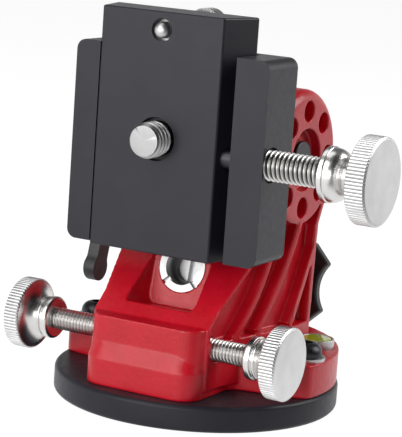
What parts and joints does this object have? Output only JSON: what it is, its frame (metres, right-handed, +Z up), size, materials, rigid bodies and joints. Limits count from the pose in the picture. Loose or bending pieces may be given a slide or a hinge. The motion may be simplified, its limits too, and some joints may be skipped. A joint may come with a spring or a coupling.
{
  "type": "star tracker mount",
  "caption": "Compact azimuth and altitude wedge: a red casting turns on a black disc between opposed screws, and a worm tilts its dovetail saddle.",
  "frame": {"origin": "centre of the base disc's underside, at the mouth of its tripod thread", "axes": "+Z up along the azimuth axis, -Y towards the saddle's front face at rest, +X towards the clamp screw"},
  "size_m": [0.1062, 0.0962, 0.1069],
  "materials": {
    "red_paint": "semi-gloss red paint on a cast surface",
    "black_anodised": "satin black anodised aluminium",
    "bright_steel": "turned and polished stainless steel",
    "steel": "plain turned steel",
    "black_steel": "black oxide steel",
    "bright_metal": "satin clear anodised aluminium",
    "level_liquid": "clear green-yellow liquid under a window",
    "bronze": "turned bronze",
    "black_plastic": "fine matt black moulding"
  },
  "bodies": {
    "base": {"base_disc": "black_anodised", "tripod_insert": "steel", "azimuth_post": "steel", "lock_washers": "steel"},
    "lock_bolt_right": {"lock_bolt_right": "black_steel"},
    "lock_bolt_left": {"lock_bolt_left": "black_steel"},
    "casting": {"wedge_casting": "red_paint", "level_cup": "bright_metal", "level_vial": "level_liquid", "worm_ring_nut": "steel", "worm_front_bush": "black_steel", "worm_rear_bush": "bronze", "worm_gland_nut": "black_anodised", "pivot_bushes": "bronze", "clutch_washer": "steel"},
    "azimuth_pad_right": {"azimuth_pad_right": "bronze"},
    "azimuth_screw_right": {"azimuth_screw_right": "bright_steel"},
    "azimuth_pad_left": {"azimuth_pad_left": "bronze"},
    "azimuth_screw_left": {"azimuth_screw_left": "bright_steel"},
    "head": {"head_tongue": "black_anodised", "worm_wheel": "bronze", "dowel_pins": "steel", "saddle": "black_anodised", "saddle_screws": "black_steel", "axle": "steel", "axle_cap": "black_steel", "thrust_washers": "bronze", "lever_cap": "steel"},
    "worm": {"worm_shaft": "steel", "altitude_knob": "black_plastic"},
    "lever": {"clutch_lever": "black_plastic"},
    "plate": {"dovetail_plate": "black_anodised"},
    "stud": {"camera_stud": "bright_steel"},
    "index": {"index_pin": "steel", "index_spring": "steel", "index_knob": "bright_metal"},
    "clamp_pad": {"clamp_pad": "black_plastic"},
    "clamp_screw": {"clamp_screw": "bright_steel"}
  },
  "joints": [
    {"name": "azimuth_turn", "type": "hinge", "parent": "base", "child": "casting", "pos_m": [0, 0, 0], "axis": [0, 0, 1], "range_deg": [-6.5, 6.5]},
    {"name": "lock_bolt_right_turn", "type": "hinge", "parent": "base", "child": "lock_bolt_right", "pos_m": [0.033, -0.0004, 0.01], "axis": [0, 0, 1], "range_deg": [0, 360]},
    {"name": "lock_bolt_left_turn", "type": "hinge", "parent": "base", "child": "lock_bolt_left", "pos_m": [-0.033, -0.0004, 0.01], "axis": [0, 0, 1], "range_deg": [0, 360]},
    {"name": "azimuth_pad_right_slide", "type": "slide", "parent": "casting", "child": "azimuth_pad_right", "axis": [1, 0, 0], "range_m": [-0.0026, 0.0026]},
    {"name": "azimuth_screw_right_turn", "type": "hinge", "parent": "azimuth_pad_right", "child": "azimuth_screw_right", "pos_m": [0.03, -0.022, 0.0195], "axis": [1, 0, 0], "range_deg": [-894.9, 894.9]},
    {"name": "azimuth_pad_left_slide", "type": "slide", "parent": "casting", "child": "azimuth_pad_left", "axis": [1, 0, 0], "range_m": [-0.0026, 0.0026]},
    {"name": "azimuth_screw_left_turn", "type": "hinge", "parent": "azimuth_pad_left", "child": "azimuth_screw_left", "pos_m": [-0.03, -0.022, 0.0195], "axis": [1, 0, 0], "range_deg": [-894.9, 894.9]},
    {"name": "altitude_tilt", "type": "hinge", "parent": "casting", "child": "head", "pos_m": [0, 0.0096, 0.0676], "axis": [-1, 0, 0], "range_deg": [0, 90]},
    {"name": "worm_turn", "type": "hinge", "parent": "casting", "child": "worm", "pos_m": [0, 0.00255, 0.03444], "axis": [0, 0.9781, -0.2079], "range_deg": [0, 4860]},
    {"name": "clutch_lever_swing", "type": "hinge", "parent": "casting", "child": "lever", "pos_m": [-0.034, 0.0096, 0.0676], "axis": [1, 0, 0], "range_deg": [-30, 60]},
    {"name": "plate_slide", "type": "slide", "parent": "head", "child": "plate", "axis": [0, 0, 1], "range_m": [0, 0.064]},
    {"name": "stud_turn", "type": "hinge", "parent": "plate", "child": "stud", "pos_m": [0, -0.033, 0.07395], "axis": [0, 1, 0], "continuous": true},
    {"name": "index_pull", "type": "slide", "parent": "plate", "child": "index", "axis": [0, 1, 0], "range_m": [0, 0.0025], "stiffness_N_per_m": 400, "springref_m": -0.005},
    {"name": "clamp_pad_slide", "type": "slide", "parent": "head", "child": "clamp_pad", "axis": [1, 0, 0], "range_m": [0, 0.004]},
    {"name": "clamp_screw_turn", "type": "hinge", "parent": "clamp_pad", "child": "clamp_screw", "pos_m": [0.05, -0.0263, 0.07085], "axis": [1, 0, 0], "range_deg": [0, 1153]}
  ],
  "couplings": [
    {"joint": "azimuth_pad_right_slide", "follows": "azimuth_turn", "m_per_rad": -0.021875},
    {"joint": "azimuth_pad_left_slide", "follows": "azimuth_turn", "m_per_rad": -0.021875},
    {"joint": "azimuth_screw_right_turn", "follows": "azimuth_turn", "ratio": -137.45},
    {"joint": "azimuth_screw_left_turn", "follows": "azimuth_turn", "ratio": -137.45},
    {"joint": "worm_turn", "follows": "altitude_tilt", "ratio": 54},
    {"joint": "clamp_screw_turn", "follows": "clamp_pad_slide", "rad_per_m": 5026.5}
  ]
}
